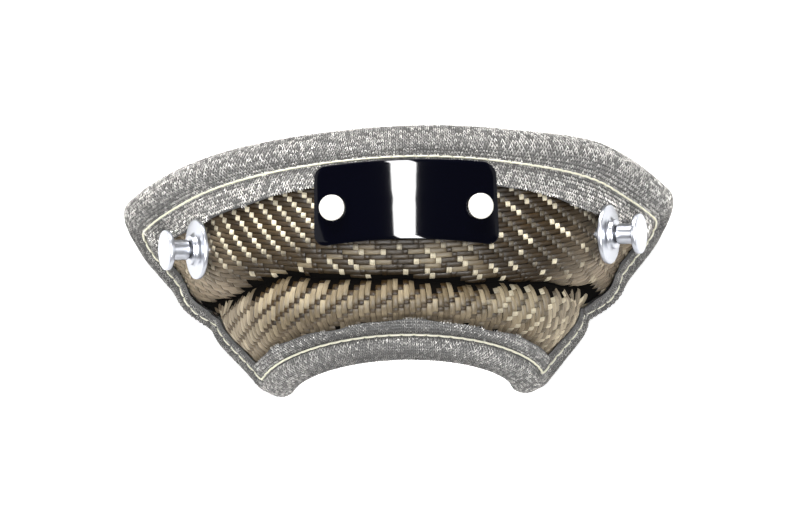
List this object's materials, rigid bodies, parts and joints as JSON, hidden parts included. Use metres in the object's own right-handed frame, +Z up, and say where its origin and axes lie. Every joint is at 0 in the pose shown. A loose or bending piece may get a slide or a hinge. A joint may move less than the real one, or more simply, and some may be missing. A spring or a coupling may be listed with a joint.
{
  "type": "wastegate heat blanket",
  "caption": "Padded arch of woven cloth with a knitted wire lining and lacing posts, wrapped over a wastegate to hold in its heat.",
  "frame": {"origin": "bottom centre of the bounding box, on the surface that the arch rests on", "axes": "+X along the length of the arch from one post to the other, +Y towards the wide rim, +Z up through the crown"},
  "size_m": [0.1492, 0.0576, 0.0566],
  "materials": {
    "cloth": "woven basalt fibre cloth, twill, slightly glossy yarns",
    "knitted_mesh": "knitted wire mesh, fine loops",
    "batt": "needled silica felt",
    "thread": "pale cream coated glass thread",
    "plate": "polished black",
    "rivet": "pale satin",
    "steel": "turned, satin"
  },
  "bodies": {
    "root": {"outer_upper_panel": "cloth", "outer_lower_panel": "cloth", "mesh_lining": "knitted_mesh", "insulation_batt": "batt", "perimeter_stitching": "thread", "seam_thread": "thread", "name_plate": "plate", "rivet_left": "rivet", "rivet_right": "rivet", "rivet_burr_left": "steel", "rivet_burr_right": "steel", "lacing_post_left": "steel", "lacing_post_right": "steel", "post_flange_left": "steel", "post_flange_right": "steel", "post_washer_left": "steel", "post_washer_right": "steel"}
  },
  "joints": []
}
